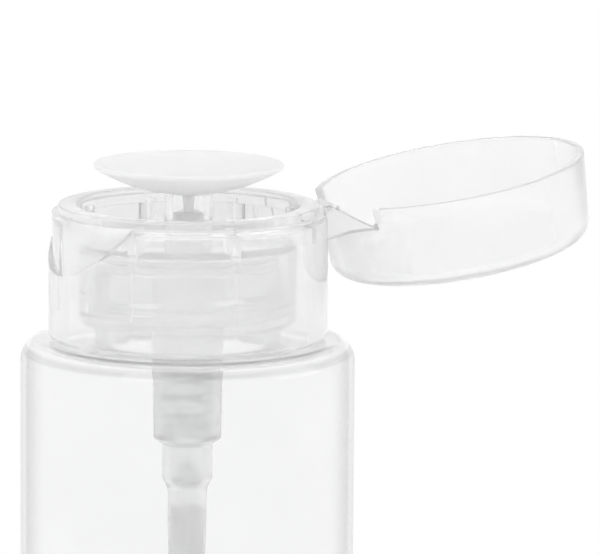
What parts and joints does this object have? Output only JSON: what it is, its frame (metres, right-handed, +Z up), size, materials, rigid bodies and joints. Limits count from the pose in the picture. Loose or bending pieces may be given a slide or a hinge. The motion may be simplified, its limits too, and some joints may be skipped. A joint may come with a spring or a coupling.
{
  "type": "press-down dispenser bottle",
  "caption": "Clear cylindrical bottle with a press-down dispenser: dished press plate, spring pump with dip tube, screw closure, and a shell with a flip-top lid lying open.",
  "frame": {"origin": "centre of the ring that the bottle stands on, on the surface below it", "axes": "+Z up along the bottle's axis, +X towards the lid's hinge, and the open lid lies out over +X"},
  "size_m": [0.0978, 0.0552, 0.1314],
  "materials": {
    "clear_bottle": "clear blown plastic",
    "seal": "soft white plastic",
    "closure": "translucent plastic, satin",
    "cap": "natural translucent plastic, satin",
    "lid": "natural translucent plastic, satin",
    "dish": "natural translucent plastic, satin",
    "pump": "translucent plastic",
    "steel": "stainless steel",
    "tube": "clear drawn tube"
  },
  "bodies": {
    "bottle_body": {"bottle": "clear_bottle"},
    "pump": {"gasket": "seal", "pump_housing": "pump", "stem_guide": "pump", "return_spring": "steel", "dip_tube": "tube"},
    "cap": {"screw_closure": "closure", "cap_shell": "cap"},
    "flip_lid": {"lid": "lid"},
    "front_wing": {"front_hinge_wing": "cap"},
    "rear_wing": {"rear_hinge_wing": "cap"},
    "plunger": {"press_dish": "dish", "piston_rod": "pump", "piston": "seal"},
    "outlet_valve": {"outlet_ball": "steel"},
    "inlet_valve": {"inlet_ball": "steel"}
  },
  "joints": [
    {"name": "pump_lift", "type": "slide", "parent": "bottle_body", "child": "pump", "axis": [0, 0, 1], "range_m": [0, 0.0064]},
    {"name": "closure_turn", "type": "hinge", "parent": "pump", "child": "cap", "pos_m": [0, 0, 0.1185], "axis": [0, 0, 1], "range_deg": [0, 540]},
    {"name": "lid_hinge", "type": "hinge", "parent": "cap", "child": "flip_lid", "pos_m": [0.0234, 0, 0.12285], "axis": [0, 1, 0], "range_deg": [-169.2, 0]},
    {"name": "front_wing_fold", "type": "hinge", "parent": "cap", "child": "front_wing", "pos_m": [0.0234, -0.0029, 0.12285], "axis": [-0.3262, -0.8354, -0.4424], "range_deg": [0, 87.78]},
    {"name": "rear_wing_fold", "type": "hinge", "parent": "cap", "child": "rear_wing", "pos_m": [0.0234, 0.0029, 0.12285], "axis": [0.3262, -0.8354, 0.4424], "range_deg": [0, 87.78]},
    {"name": "press", "type": "slide", "parent": "pump", "child": "plunger", "axis": [0, 0, -1], "range_m": [0, 0.0052], "stiffness_N_per_m": 1500, "springref_m": -0.003, "deforming": ["return_spring"]},
    {"name": "outlet_ball_lift", "type": "slide", "parent": "plunger", "child": "outlet_valve", "axis": [0, 0, 1], "range_m": [0, 0.0014]},
    {"name": "inlet_ball_lift", "type": "slide", "parent": "pump", "child": "inlet_valve", "axis": [0, 0, 1], "range_m": [0, 0.0012]}
  ],
  "couplings": [
    {"joint": "pump_lift", "follows": "closure_turn", "m_per_rad": 0.0006732},
    {"joint": "front_wing_fold", "follows": "lid_hinge", "ratio": -0.51878},
    {"joint": "rear_wing_fold", "follows": "lid_hinge", "ratio": -0.51878}
  ]
}
